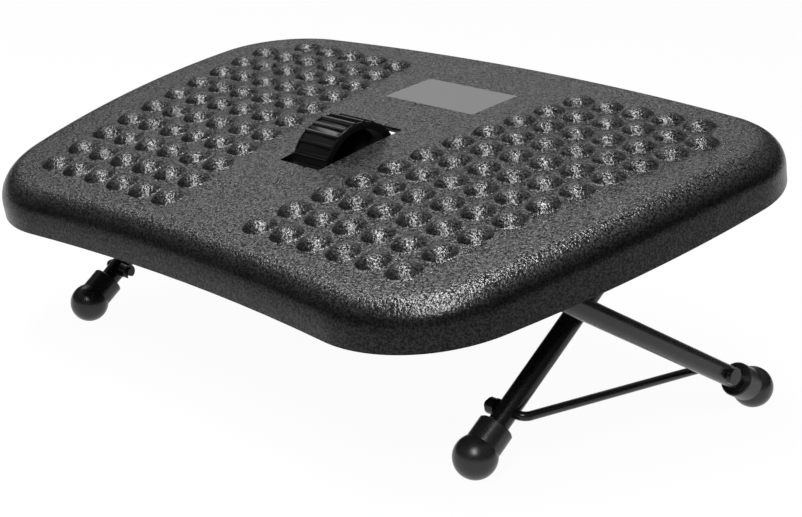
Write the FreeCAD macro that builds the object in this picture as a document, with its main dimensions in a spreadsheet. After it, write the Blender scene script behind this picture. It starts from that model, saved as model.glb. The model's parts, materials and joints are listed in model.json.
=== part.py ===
import FreeCAD, Part
import math
import os

import Sketcher

# Rocking footrest: a moulded platform on two crossed U-shaped tube leg frames that two bent rods
# join near the feet. Lengths in millimetres, angles in degrees. Everything is drawn in the
# platform's own frame, X to the right, Y to the rear, Z square to the platform with z = 0 at the
# top of its crown, and is then tilted and lowered onto the floor.
SIZES = [
    # platform shell
    ("front_corner_across", 136.5),
    ("front_corner_along", 80.5),
    ("front_corner_radius", 69.0),
    ("rear_corner_across", 160.0),
    ("rear_corner_along", 81.0),
    ("rear_corner_radius", 67.0),
    ("front_hollow_radius", 1325.0),
    ("side_bow_radius", 830.0),
    ("rear_bow_radius", 1053.0),
    ("rim_depth", 30.0),
    ("crown_radius", 1538.0),
    ("shoulder_radius", 16.0),
    ("shell_wall", 3.0),
    ("rib_wall", 2.0),
    ("rib_reach", 9.5),
    ("rib_spacing", 45.0),
    ("cross_rib_front", 112.0),
    ("cross_rib_mid_front", 46.5),
    ("cross_rib_mid_rear", 44.0),
    ("cross_rib_rear", 118.0),
    # massage bumps
    ("bump_column_pitch", 22.0),
    ("bump_row_pitch", 21.8),
    ("bump_row_shift", 3.7),
    ("bump_inner_column", 58.9),
    ("bump_radius", 9.2),
    ("bump_height", 4.6),
    ("bump_root", 1.5),
    # plain panel let into the platform near its rear edge
    ("panel_width", 74.0),
    ("panel_length", 39.5),
    ("panel_along", 80.2),
    ("panel_recess", 0.6),
    ("panel_proud", 0.1),
    ("panel_clearance", 0.15),
    # thumbwheel and its slot
    ("slot_width", 34.4),
    ("slot_length", 66.5),
    ("slot_corner_radius", 1.5),
    ("slot_along", 11.2),
    ("wheel_along", 10.5),
    ("wheel_drop", 15.0),
    ("wheel_radius", 30.0),
    ("wheel_width", 29.0),
    ("wheel_land_radius", 28.4),
    ("wheel_flange_radius", 29.4),
    ("wheel_flange_wall", 1.2),
    ("wheel_rim_wall", 3.4),
    ("wheel_web", 5.0),
    ("wheel_hub_radius", 10.0),
    ("wheel_rib_base", 3.4),
    ("wheel_rib_top", 2.0),
    ("wheel_rib_root", 0.6),
    ("cheek_wall", 4.0),
    ("cheek_length", 30.0),
    ("cheek_edge", 11.0),
    ("slot_wall_drop", 14.0),
    # clamp through the wheel
    ("bolt_radius", 4.0),
    ("bolt_tail", 3.0),
    ("bolt_neck_width", 8.0),
    ("bolt_neck_start", 0.4),
    ("bolt_head_radius", 9.5),
    ("bolt_head_edge", 2.5),
    ("bolt_head_dome", 1.5),
    ("bolt_head_crown_radius", 6.5),
    ("insert_radius", 6.0),
    ("thrust_washer_radius", 8.5),
    ("thrust_washer_wall", 1.5),
    ("friction_washer_radius", 9.5),
    ("friction_washer_wall", 1.5),
    # brake strap between the front bar and the clamp bolt
    ("strap_width", 16.0),
    ("strap_wall", 2.5),
    ("strap_slot_travel", 10.0),
    ("strap_slot_play", 0.3),
    ("lug_reach", 18.0),
    ("lug_wall", 4.0),
    ("lug_ring_radius", 9.5),
    ("lug_eye_radius", 7.0),
    ("link_pin_radius", 3.0),
    ("link_pin_head_radius", 4.5),
    ("link_pin_head_height", 1.5),
    # leg frames
    ("tube_radius", 6.0),
    ("tube_wall", 1.2),
    ("tube_bend_radius", 28.0),
    ("bar_drop", 16.0),
    ("rear_bar_along", 82.5),
    ("front_bar_along", 70.0),
    ("front_leg_across", 171.0),
    ("front_leg_length", 202.5),
    ("front_leg_angle", 27.3),
    ("leg_gap", 11.5),
    ("rear_leg_length", 225.5),
    ("rear_leg_angle", 39.3),
    # feet
    ("ball_radius", 12.0),
    ("ball_flat_depth", 0.4),
    ("collar_radius", 9.9),
    ("collar_reach", 19.6),
    ("collar_edge", 0.6),
    ("tube_end_gap", 4.0),
    ("socket_gap", 2.0),
    # stay rods and what holds their ends
    ("stay_radius", 2.5),
    ("stay_bend_radius", 4.6),
    ("front_hole_from_ball", 29.7),
    ("rear_hole_from_ball", 35.0),
    ("stay_front_tail", 8.2),
    ("stay_rear_tail", 2.4),
    ("open_pivot_play", 0.7),
    ("stay_washer_radius", 4.8),
    ("stay_washer_wall", 1.6),
    ("snap_ring_radius", 4.5),
    ("snap_ring_wall", 4.0),
    ("snap_ring_mouth", 3.4),
    ("snap_groove_depth", 0.5),
    ("cap_radius", 5.0),
    ("cap_wall", 1.0),
    # saddles and clips that carry the bars
    ("rear_saddle_across", 105.0),
    ("front_saddle_across", 120.0),
    ("saddle_width", 22.0),
    ("saddle_length", 38.0),
    ("clip_width", 16.0),
    ("clip_wall", 2.2),
    ("clip_screw_along", 13.5),
    ("screw_radius", 1.75),
    ("screw_length", 11.0),
    ("screw_head_radius", 3.6),
    ("screw_head_height", 2.2),
    ("screw_recess_width", 0.9),
    ("screw_recess_length", 4.0),
    ("screw_recess_depth", 1.2),
    ("clip_hole_radius", 2.2),
    # fits and gaps
    ("running_gap", 0.05),
    ("slip_gap", 0.02),
    ("slide_gap", 0.1),
    ("side_gap", 0.3),
    ("overrun", 5.0),
]
# sizes that follow from the ones above
DERIVED = [
    ("rear_leg_across", "front_leg_across + 2 * tube_radius + leg_gap"),
    ("stay_across", "front_leg_across + tube_radius + leg_gap / 2"),
    ("tube_bore_radius", "tube_radius - tube_wall"),
    ("front_tube_length", "front_leg_length - tube_end_gap"),
    ("rear_tube_length", "rear_leg_length - tube_end_gap"),
    ("front_hole_along", "front_leg_length - front_hole_from_ball"),
    ("rear_hole_along", "rear_leg_length - rear_hole_from_ball"),
    ("stay_hole_radius", "stay_radius + running_gap"),
    ("open_pivot_radius", "stay_radius + open_pivot_play"),
    ("cut_reach", "rear_corner_along + rear_corner_radius + rim_depth"),
    ("block_height", "rim_depth + overrun"),
    ("core_height", "rim_depth + 2 * overrun"),
    ("rib_height", "rib_reach + overrun"),
    ("full_width", "2 * cut_reach + 2 * rear_corner_radius"),
    ("full_length", "2 * cut_reach"),
    ("saddle_height", "bar_drop + overrun"),
    ("cheek_height", "wheel_drop + cheek_edge + overrun"),
    ("slot_wall_height", "slot_wall_drop + overrun"),
    ("groove_radius", "tube_radius + running_gap"),
    ("groove_length", "saddle_width + 2 * overrun"),
    ("axle_radius", "bolt_radius + running_gap"),
    ("axle_length", "slot_width + 2 * cheek_wall + 2 * overrun"),
    ("pilot_radius", "screw_radius + slip_gap"),
    ("panel_pocket_width", "panel_width + 2 * panel_clearance"),
    ("panel_pocket_length", "panel_length + 2 * panel_clearance"),
    ("panel_height", "rim_depth + overrun"),
    ("panel_top_radius", "crown_radius + panel_proud"),
    ("panel_floor_radius", "crown_radius - panel_recess"),
    ("panel_under_radius", "crown_radius - panel_recess + slip_gap"),
    ("slot_straight_width", "slot_width - 2 * slot_corner_radius"),
    ("slot_straight_length", "slot_length - 2 * slot_corner_radius"),
    ("slot_height", "rib_reach + 2 * overrun"),
    ("wheel_half_width", "wheel_width / 2"),
    ("wheel_flange_half", "wheel_width / 2 - wheel_flange_wall"),
    ("wheel_web_half", "wheel_web / 2"),
    ("wheel_rim_bore", "wheel_land_radius - wheel_rim_wall"),
    ("wheel_rib_foot", "wheel_land_radius - wheel_rib_root"),
    ("wheel_rib_length", "wheel_width - 2 * wheel_flange_wall + 2 * wheel_rib_root"),
    ("wheel_rib_half_base", "wheel_rib_base / 2"),
    ("wheel_rib_half_top", "wheel_rib_top / 2"),
    ("hub_half_length", "slot_width / 2 - thrust_washer_wall - slide_gap"),
    ("hub_bore_radius", "insert_radius + slip_gap"),
    ("insert_length", "2 * hub_half_length"),
    ("bolt_shank_length", "slot_width + 2 * cheek_wall + bolt_tail"),
    ("bolt_neck_length", "strap_wall + friction_washer_wall"),
    ("washer_square", "bolt_neck_width + 2 * strap_slot_play"),
    ("strap_bore_radius", "link_pin_radius + running_gap"),
    ("strap_end_radius", "strap_width / 2"),
    ("strap_slot_radius", "bolt_neck_width / 2 + strap_slot_play"),
    ("strap_slot_width", "2 * strap_slot_radius"),
    ("lug_bore_radius", "tube_radius + slip_gap"),
    ("lug_eye_bore_radius", "link_pin_radius + slip_gap"),
    ("lug_bar_width", "2 * lug_eye_radius"),
    ("link_pin_length", "strap_wall + slide_gap + lug_wall"),
    ("ball_width", "2 * ball_radius"),
    ("socket_radius", "tube_radius + slip_gap"),
    ("collar_straight", "collar_reach - collar_edge"),
    ("collar_top_radius", "collar_radius - collar_edge"),
    ("socket_length", "collar_reach + overrun"),
    ("stay_inner", "stay_across - front_leg_across + tube_radius + stay_front_tail"),
    ("stay_outer", "rear_leg_across + tube_radius + stay_rear_tail - stay_across"),
    ("stay_bore_radius", "stay_radius + slip_gap"),
    ("snap_ring_bore", "stay_radius - snap_groove_depth + slip_gap"),
    ("cap_height", "stay_rear_tail - side_gap + slip_gap + cap_wall"),
    ("cap_depth", "stay_rear_tail - side_gap + slip_gap"),
    ("clip_outer_radius", "groove_radius + clip_wall"),
    ("clip_outer_width", "2 * clip_outer_radius"),
]
WHEEL_RIB_COUNT = 26
BUMP_ROWS = 11
BUMP_COLUMNS = 6
BUMP_MIDDLE_ROW = 5
BUMP_SIDES = 10
# each ring of a bump's faceted dome as a share of its height and a share of its radius
BUMP_RING_SHARES = [(0.55, 0.76), (1.0, 0.32)]

doc = FreeCAD.newDocument("Footrest")
sheet = doc.addObject("Spreadsheet::Sheet", "Sizes")
ALIASES = set()


def add_cell(alias, content):
    row = len(ALIASES) + 1
    sheet.set("A%d" % row, alias)
    sheet.set("B%d" % row, content)
    sheet.setAlias("B%d" % row, alias)
    ALIASES.add(alias)


for alias, value in SIZES:
    add_cell(alias, str(value))
for alias, formula in DERIVED:
    add_cell(alias, "=" + formula)
doc.recompute()


class Named:
    """Reads a size from the sheet by its alias."""

    def __getattr__(self, alias):
        return float(getattr(sheet, alias))


size = Named()
X_AXIS = FreeCAD.Vector(1, 0, 0)
Y_AXIS = FreeCAD.Vector(0, 1, 0)
Z_AXIS = FreeCAD.Vector(0, 0, 1)
ORIGIN = FreeCAD.Vector(0, 0, 0)


def sheet_words(words):
    """Turns 'rim_depth + overrun' into an expression that reads the sheet's cells."""
    return " ".join("Sizes." + word if word in ALIASES else word for word in words.split())


def shift(x=0.0, y=0.0, z=0.0):
    return FreeCAD.Placement(FreeCAD.Vector(x, y, z), FreeCAD.Rotation())


def turn(axis, degrees):
    return FreeCAD.Placement(ORIGIN, FreeCAD.Rotation(axis, degrees))


LIE_ALONG_X = turn(Y_AXIS, 90)


# primitives and booleans bound to the sheet

def bound(thing, **expressions):
    for name, words in expressions.items():
        thing.setExpression(name, sheet_words(words))
    return thing


def cylinder(name, radius, height, place):
    thing = doc.addObject("Part::Cylinder", name)
    thing.Placement = place
    return bound(thing, Radius=radius, Height=height)


def rod_along_x(name, radius, length, start, y, z):
    """A cylinder along X that begins at x = start."""
    return cylinder(name, radius, length, shift(start, y, z) * LIE_ALONG_X)


def cone(name, low_radius, high_radius, height, place):
    thing = doc.addObject("Part::Cone", name)
    thing.Placement = place
    return bound(thing, Radius1=low_radius, Radius2=high_radius, Height=height)


def sphere(name, radius, place):
    thing = doc.addObject("Part::Sphere", name)
    thing.Placement = place
    return bound(thing, Radius=radius)


def box(name, length, width, height, place):
    thing = doc.addObject("Part::Box", name)
    thing.Placement = place
    return bound(thing, Length=length, Width=width, Height=height)


def middle_box(name, length, width, height, place):
    """A box centred in X and Y on its place, standing on the place's z = 0."""
    half = shift(-value_of(length) / 2, -value_of(width) / 2, 0)
    return box(name, length, width, height, place * half)


def value_of(alias):
    return getattr(size, alias)


def fuse(name, things):
    result = doc.addObject("Part::MultiFuse", name)
    result.Shapes = things
    result.Refine = True
    return result


def common(name, first, second):
    result = doc.addObject("Part::MultiCommon", name)
    result.Shapes = [first, second]
    return result


def cut(name, base, *tools):
    result = doc.addObject("Part::Cut", name)
    result.Base = base
    result.Tool = tools[0] if len(tools) == 1 else fuse(name + "_tools", list(tools))
    return result


# bodies and sketches

def new_body(name):
    return doc.addObject("PartDesign::Body", name)


def origin_item(body, role):
    return next(item for item in body.Origin.OriginFeatures if item.Role == role)


def new_sketch(body, name, plane, lift=None):
    """A sketch on one of the body's origin planes, lifted along that plane's normal."""
    sketch = body.newObject("Sketcher::SketchObject", name)
    sketch.AttachmentSupport = (origin_item(body, plane), [""])
    sketch.MapMode = "FlatFace"
    if lift:
        sketch.setExpression(".AttachmentOffset.Base.z", sheet_words(lift))
    return sketch


def hold(sketch, kind, where, words):
    """Adds a driving constraint that reads the sheet."""
    index = sketch.addConstraint(Sketcher.Constraint(kind, *where, value_of_sum(words)))
    label = "held_%d" % index
    sketch.renameConstraint(index, label)
    sketch.setExpression("Constraints." + label, sheet_words(words))


def value_of_sum(words):
    """The value of an alias, or of a chain of aliases joined by + and -."""
    total = 0.0
    sign = 1
    for word in words.split():
        if word in "+-":
            sign = 1 if word == "+" else -1
        else:
            total += sign * value_of(word)
    return total


def tie(sketch, kind, *where):
    sketch.addConstraint(Sketcher.Constraint(kind, *where))


def add_arc(sketch, centre, radius, start, end):
    circle = Part.Circle(FreeCAD.Vector(*centre, 0), Z_AXIS, radius)
    return sketch.addGeometry(Part.ArcOfCircle(circle, math.radians(start), math.radians(end)))


def add_line(sketch, start, end):
    return sketch.addGeometry(
        Part.LineSegment(FreeCAD.Vector(*start, 0), FreeCAD.Vector(*end, 0))
    )


# point numbers and the two axes as sketches name them
START, END, CENTRE = 1, 2, 3
H_AXIS, V_AXIS = -1, -2
SKETCH_ORIGIN = (-1, 1)


def hold_point(sketch, kind, item, point, words):
    """Holds a point's distance from the origin. A leading minus puts it on the other side."""
    if words.startswith("- "):
        hold(sketch, kind, (item, point) + SKETCH_ORIGIN, words[2:])
    else:
        hold(sketch, kind, SKETCH_ORIGIN + (item, point), words)


def polygon_sketch(body, name, plane, corners, lift=None):
    """A closed polygon. Each corner is two aliases, either with a leading minus."""
    sketch = new_sketch(body, name, plane, lift)

    def number(words):
        return -value_of(words[2:]) if words.startswith("- ") else value_of(words)

    points = [(number(across), number(up)) for across, up in corners]
    count = len(points)
    for item in range(count):
        add_line(sketch, points[item], points[(item + 1) % count])
    for item in range(count):
        tie(sketch, "Coincident", item, END, (item + 1) % count, START)
    for item, (across, up) in enumerate(corners):
        hold_point(sketch, "DistanceX", item, START, across)
        hold_point(sketch, "DistanceY", item, START, up)
    return sketch


def circle_sketch(body, name, plane, radius, across=None, lift=None):
    """A circle on the sketch's horizontal axis, at the across words or at the origin."""
    sketch = new_sketch(body, name, plane, lift)
    where = 0.0
    if across:
        where = -value_of(across[2:]) if across.startswith("- ") else value_of(across)
    item = sketch.addGeometry(
        Part.Circle(FreeCAD.Vector(where, 0, 0), Z_AXIS, value_of(radius))
    )
    tie(sketch, "PointOnObject", item, CENTRE, H_AXIS)
    if across:
        hold_point(sketch, "DistanceX", item, CENTRE, across)
    else:
        tie(sketch, "PointOnObject", item, CENTRE, V_AXIS)
    hold(sketch, "Radius", (item,), radius)
    return sketch


def pad(body, name, sketch, length, both_ways=False):
    feature = body.newObject("PartDesign::Pad", name)
    feature.Profile = sketch
    if both_ways:
        feature.SideType = "Symmetric"
    return bound(feature, Length=length)


def pocket_through(body, name, sketch):
    """A pocket through the whole body to both sides of its sketch."""
    feature = body.newObject("PartDesign::Pocket", name)
    feature.Profile = sketch
    feature.SideType = "Symmetric"
    feature.Type = "ThroughAll"
    return feature


def pipe(body, name, kind, path, profile):
    feature = body.newObject("PartDesign::" + kind, name)
    feature.Profile = profile
    feature.Spine = (path, [])
    return feature


def tangent_joins(sketch, *joins):
    for join in joins:
        tie(sketch, "Tangent", *join)


# platform outline: eight arcs, each tangent to the next

def outline_arcs(inset):
    """Centres, radii and joining angles of the right half, drawn in by inset."""
    front = (size.front_corner_across, -size.front_corner_along)
    rear = (size.rear_corner_across, size.rear_corner_along)
    front_radius = size.front_corner_radius - inset
    rear_radius = size.rear_corner_radius - inset
    side_radius = size.side_bow_radius - inset
    hollow_radius = size.front_hollow_radius + inset
    bow_radius = size.rear_bow_radius - inset
    hollow_y = front[1] - math.sqrt((hollow_radius + front_radius) ** 2 - front[0] ** 2)
    bow_y = rear[1] - math.sqrt((bow_radius - rear_radius) ** 2 - rear[0] ** 2)
    step_x, step_y = rear[0] - front[0], rear[1] - front[1]
    apart = math.hypot(step_x, step_y)
    reach = side_radius - front_radius
    far_reach = side_radius - rear_radius
    along = (reach ** 2 - far_reach ** 2 + apart ** 2) / (2 * apart)
    inward = math.sqrt(reach ** 2 - along ** 2)
    side = (
        front[0] + (step_x * along - step_y * inward) / apart,
        front[1] + (step_y * along + step_x * inward) / apart,
    )

    def heading(start, end):
        return math.degrees(math.atan2(end[1] - start[1], end[0] - start[0]))

    # where the front corner, the side, the rear corner and the rear edge begin and end
    to_front = heading(front, (0, hollow_y))
    to_side = heading(side, front)
    to_rear = heading(side, rear)
    to_bow = heading((0, bow_y), rear)
    arcs = {
        "hollow": ((0, hollow_y), hollow_radius),
        "front": (front, front_radius),
        "side": (side, side_radius),
        "rear": (rear, rear_radius),
        "bow": ((0, bow_y), bow_radius),
    }
    return arcs, (to_front, to_side, to_rear, to_bow)


def outline_sketch(body, name, lift, wall=None):
    """The platform's plan outline, drawn in by the wall if one is named."""
    arcs, angles = outline_arcs(value_of(wall) if wall else 0.0)
    to_front, to_side, to_rear, to_bow = angles
    smaller = " - " + wall if wall else ""
    larger = " + " + wall if wall else ""
    sketch = new_sketch(body, name, "XY_Plane", lift)

    def mirrored(item):
        (x, y), radius = item
        return (-x, y), radius

    pieces = [
        (arcs["hollow"], to_front + 180, -to_front),
        (arcs["front"], to_front, to_side),
        (arcs["side"], to_side, to_rear),
        (arcs["rear"], to_rear, to_bow),
        (arcs["bow"], to_bow, 180 - to_bow),
        (mirrored(arcs["rear"]), 180 - to_bow, 180 - to_rear),
        (mirrored(arcs["side"]), 180 - to_rear, 180 - to_side),
        (mirrored(arcs["front"]), 180 - to_side, 180 - to_front),
    ]
    for (centre, radius), start, end in pieces:
        add_arc(sketch, centre, radius, min(start, end), max(start, end))
    hollow, front, side, rear, bow, left_rear, left_side, left_front = range(8)
    tangent_joins(
        sketch,
        (hollow, START, front, START),
        (front, END, side, START),
        (side, END, rear, START),
        (rear, END, bow, START),
        (bow, END, left_rear, START),
        (left_rear, END, left_side, START),
        (left_side, END, left_front, START),
        (left_front, END, hollow, END),
    )
    hold(sketch, "Radius", (hollow,), "front_hollow_radius" + larger)
    hold(sketch, "Radius", (side,), "side_bow_radius" + smaller)
    hold(sketch, "Radius", (left_side,), "side_bow_radius" + smaller)
    hold(sketch, "Radius", (bow,), "rear_bow_radius" + smaller)
    corners = [
        (front, "front_corner_across", "- front_corner_along", "front_corner_radius"),
        (left_front, "- front_corner_across", "- front_corner_along", "front_corner_radius"),
        (rear, "rear_corner_across", "rear_corner_along", "rear_corner_radius"),
        (left_rear, "- rear_corner_across", "rear_corner_along", "rear_corner_radius"),
    ]
    for item, across, along, radius in corners:
        hold_point(sketch, "DistanceX", item, CENTRE, across)
        hold_point(sketch, "DistanceY", item, CENTRE, along)
        hold(sketch, "Radius", (item,), radius + smaller)
    return sketch


def crown_sketch(body, name, wall=None):
    """What lies above the crown, seen from the side: an arc closed by a frame over it."""
    radius = size.crown_radius - (value_of(wall) if wall else 0.0)
    drop = size.crown_radius
    reach = size.cut_reach
    top = size.core_height
    swing = math.degrees(math.asin(reach / radius))
    low = radius * math.cos(math.radians(swing)) - drop
    sketch = new_sketch(body, name, "YZ_Plane")
    crown = add_arc(sketch, (0, -drop), radius, 90 - swing, 90 + swing)
    left = add_line(sketch, (-reach, low), (-reach, top))
    over = add_line(sketch, (-reach, top), (reach, top))
    right = add_line(sketch, (reach, top), (reach, low))
    tie(sketch, "Coincident", crown, END, left, START)
    tie(sketch, "Coincident", left, END, over, START)
    tie(sketch, "Coincident", over, END, right, START)
    tie(sketch, "Coincident", right, END, crown, START)
    tie(sketch, "Vertical", left)
    tie(sketch, "Horizontal", over)
    tie(sketch, "Vertical", right)
    tie(sketch, "PointOnObject", crown, CENTRE, V_AXIS)
    hold_point(sketch, "DistanceY", crown, CENTRE, "- crown_radius")
    hold(sketch, "Radius", (crown,), "crown_radius" + (" - " + wall if wall else ""))
    hold_point(sketch, "DistanceX", left, START, "- cut_reach")
    hold_point(sketch, "DistanceX", right, START, "cut_reach")
    hold_point(sketch, "DistanceY", over, START, "core_height")
    return sketch


def crowned_block(name, lift, height, kind, amount, wall=None):
    """The outline raised, cut off along the crown, its shoulder rounded or bevelled."""
    body = new_body(name)
    raised = pad(body, name + "_block", outline_sketch(body, name + "_outline", lift, wall), height)
    doc.recompute()
    before = raised.Shape.Volume
    crown = pocket_through(body, name + "_crown", crown_sketch(body, name + "_arc", wall))
    doc.recompute()
    if not 0 < crown.Shape.Volume < before:
        raise SystemExit(name + ": the crown cut took nothing away or everything")
    tops = [
        face for face in crown.Shape.Faces
        if isinstance(face.Surface, Part.Cylinder) and abs(face.Surface.Axis.x) > 0.5
    ]
    top_edges = [edge for face in tops for edge in face.OuterWire.Edges]
    shoulder = body.newObject("PartDesign::" + kind, name + "_shoulder")
    shoulder.Base = (crown, edge_names(crown.Shape, top_edges))
    bound(shoulder, **{"Radius" if kind == "Fillet" else "Size": amount})
    body.Tip = shoulder
    return body


def edge_names(shape, wanted):
    return [
        "Edge%d" % (index + 1)
        for index, edge in enumerate(shape.Edges)
        if any(edge.isSame(other) for other in wanted)
    ]


# bumps

def crown_height(y):
    return math.sqrt(size.crown_radius ** 2 - y ** 2) - size.crown_radius


def faceted_dome():
    """A many-sided dome on z = 0 whose lowest band runs on below that as its root."""
    height_share, radius_share = BUMP_RING_SHARES[0]
    spread = size.bump_radius * (1 - radius_share) / (size.bump_height * height_share)
    rings = [(-size.bump_root, size.bump_radius + size.bump_root * spread)]
    for height_share, radius_share in BUMP_RING_SHARES:
        rings.append((size.bump_height * height_share, size.bump_radius * radius_share))
    loops = []
    for height, radius in rings:
        loop = []
        for corner in range(BUMP_SIDES):
            angle = 2 * math.pi * (corner + 0.5) / BUMP_SIDES
            loop.append(FreeCAD.Vector(radius * math.cos(angle), radius * math.sin(angle), height))
        loops.append(loop)
    faces = [face_of(list(reversed(loops[0]))), face_of(loops[-1])]
    for low, high in zip(loops, loops[1:]):
        for corner in range(BUMP_SIDES):
            following = (corner + 1) % BUMP_SIDES
            faces.append(face_of([low[corner], low[following], high[following], high[corner]]))
    return Part.Solid(Part.Shell(faces))


def face_of(points):
    return Part.Face(Part.makePolygon(points + [points[0]]))


def bump_places():
    """Rows from front to rear, columns from the middle outward, both sides alike."""
    for row in range(BUMP_ROWS):
        steps = row - BUMP_MIDDLE_ROW
        y = size.bump_row_pitch * steps
        for column in range(BUMP_COLUMNS):
            if row == BUMP_ROWS - 1 and column == BUMP_COLUMNS - 1:
                continue
            across = size.bump_inner_column + size.bump_row_shift * steps
            across += size.bump_column_pitch * column
            for side in (-1, 1):
                lean = math.degrees(math.asin(-y / size.crown_radius))
                yield shift(side * across, y, crown_height(y)) * turn(X_AXIS, lean)


def all_bumps():
    dome = faceted_dome()
    domes = []
    for place in bump_places():
        copy = dome.copy()
        copy.Placement = place
        domes.append(copy)
    holder = doc.addObject("Part::Feature", "bumps")
    holder.Shape = Part.makeCompound(domes)
    return holder


# platform

def saddle_places():
    """Side, distance across and distance along of the four saddles, with their names."""
    rear = (size.rear_saddle_across, size.rear_bar_along)
    front = (size.front_saddle_across, -size.front_bar_along)
    for word, (across, along) in (("rear", rear), ("front", front)):
        yield word + "_left", -across, along
        yield word + "_right", across, along


def clip_screw_places():
    for word, x, y in saddle_places():
        for step in (-size.clip_screw_along, size.clip_screw_along):
            yield word + ("_near" if step < 0 else "_far"), x, y + step


def platform():
    outer = crowned_block(
        "platform_outer", "- rim_depth", "block_height", "Fillet", "shoulder_radius"
    )
    inner = crowned_block(
        "platform_core", "- block_height", "core_height", "Chamfer", "core_bevel", "shell_wall"
    )
    shell = cut("platform_shell", outer, inner)
    works = []
    for number in (1, 2, 3, 4):
        for side in (-1, 1):
            place = shift(side * number * size.rib_spacing, 0, -size.rib_reach)
            name = "rib_%d_%s" % (number, "left" if side < 0 else "right")
            works.append(middle_box(name, "rib_wall", "full_length", "rib_height", place))
    cross_ribs = [
        ("cross_rib_front", -1),
        ("cross_rib_mid_front", -1),
        ("cross_rib_mid_rear", 1),
        ("cross_rib_rear", 1),
    ]
    for alias, side in cross_ribs:
        place = shift(0, side * value_of(alias), -size.rib_reach)
        works.append(middle_box(alias + "_box", "full_width", "rib_wall", "rib_height", place))
    for word, x, y in saddle_places():
        place = shift(x, y, -size.bar_drop)
        works.append(
            middle_box("saddle_" + word, "saddle_width", "saddle_length", "saddle_height", place)
        )
    # a wall along each side of the slot, deeper round the axle
    cheek_middle = (size.slot_width + size.cheek_wall) / 2
    cheek_low = -size.wheel_drop - size.cheek_edge
    for side in (-1, 1):
        word = "left" if side < 0 else "right"
        place = shift(side * cheek_middle, -size.wheel_along, cheek_low)
        works.append(
            middle_box("cheek_" + word, "cheek_wall", "cheek_length", "cheek_height", place)
        )
        place = shift(side * cheek_middle, -size.slot_along, -size.slot_wall_drop)
        works.append(middle_box(
            "slot_wall_" + word, "cheek_wall", "slot_length", "slot_wall_height", place
        ))
    inside = common("platform_inside", fuse("platform_works", works), outer)
    solid = fuse("platform_solid", [shell, inside, all_bumps()])
    tools = [slot_tool(), panel_pocket_tool()]
    for word, x, y in saddle_places():
        start = x - size.groove_length / 2
        name = "groove_" + word
        tools.append(
            rod_along_x(name, "groove_radius", "groove_length", start, y, -size.bar_drop)
        )
    for word, x, y in clip_screw_places():
        low = -size.bar_drop - size.clip_wall
        place = shift(x, y, low)
        tools.append(cylinder("pilot_" + word, "pilot_radius", "screw_length", place))
    tools.append(
        rod_along_x(
            "axle_bore", "axle_radius", "axle_length",
            -size.axle_length / 2, -size.wheel_along, -size.wheel_drop,
        )
    )
    return cut("platform", solid, *tools)


def slot_tool():
    place = shift(0, -size.slot_along, -size.slot_height + size.overrun)
    pieces = [
        middle_box("slot_wide", "slot_width", "slot_straight_length", "slot_height", place),
        middle_box("slot_long", "slot_straight_width", "slot_length", "slot_height", place),
    ]
    for side in (-1, 1):
        for end in (-1, 1):
            x = side * size.slot_straight_width / 2
            y = end * size.slot_straight_length / 2
            name = "slot_corner_%d_%d" % (side + 1, end + 1)
            corner = place * shift(x, y, 0)
            pieces.append(cylinder(name, "slot_corner_radius", "slot_height", corner))
    return fuse("slot_tool", pieces)


def crown_cylinder(name, radius):
    start = -size.full_width / 2
    return rod_along_x(name, radius, "full_width", start, 0, -size.crown_radius)


def panel_pocket_tool():
    place = shift(0, size.panel_along, -size.panel_height + size.overrun)
    block = middle_box(
        "panel_pocket_block", "panel_pocket_width", "panel_pocket_length", "panel_height", place
    )
    return cut("panel_pocket_tool", block, crown_cylinder("panel_floor", "panel_floor_radius"))


def label_panel():
    place = shift(0, size.panel_along, -size.panel_height + size.overrun)
    block = middle_box("panel_block", "panel_width", "panel_length", "panel_height", place)
    top = crown_cylinder("panel_top", "panel_top_radius")
    under = crown_cylinder("panel_under", "panel_under_radius")
    return cut("label_panel", common("panel_curved", block, top), under)


# clips and screws that hold the bars

def bar_clip(word, x, y):
    name = "bar_clip_" + word
    low = shift(x, y, -size.bar_drop - size.clip_wall)
    flange = middle_box(name + "_flange", "clip_width", "saddle_length", "clip_wall", low)
    start = x - size.clip_width / 2
    round_part = rod_along_x(
        name + "_round", "clip_outer_radius", "clip_width", start, y, -size.bar_drop
    )
    upper = middle_box(
        name + "_upper", "saddle_width", "clip_outer_width", "clip_outer_radius",
        shift(x, y, -size.bar_drop),
    )
    lower_half = cut(name + "_lower_half", round_part, upper)
    start = x - size.groove_length / 2
    tools = [
        rod_along_x(
            name + "_bore", "groove_radius", "groove_length", start, y, -size.bar_drop
        )
    ]
    for step in (-size.clip_screw_along, size.clip_screw_along):
        place = shift(x, y + step, -size.bar_drop - size.clip_wall - size.overrun)
        hole = name + ("_near_hole" if step < 0 else "_far_hole")
        tools.append(cylinder(hole, "clip_hole_radius", "screw_length", place))
    return cut(name, fuse(name + "_solid", [flange, lower_half]), *tools)


def clip_screws():
    screws = []
    for word, x, y in clip_screw_places():
        seat = shift(x, y, -size.bar_drop - size.clip_wall)
        shank = cylinder("shank_" + word, "screw_radius", "screw_length", seat)
        below = seat * shift(0, 0, -size.screw_head_height)
        head = cylinder("head_" + word, "screw_head_radius", "screw_head_height", below)
        low = below * shift(0, 0, size.screw_recess_depth - size.overrun)
        first = middle_box(
            "recess_a_" + word, "screw_recess_length", "screw_recess_width", "overrun", low
        )
        second = middle_box(
            "recess_b_" + word, "screw_recess_width", "screw_recess_length", "overrun", low
        )
        screws.append(cut("screw_" + word, fuse("blank_" + word, [shank, head]), first, second))
    group = doc.addObject("Part::Compound", "clip_screws")
    group.Links = screws
    return group


# leg frames

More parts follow.
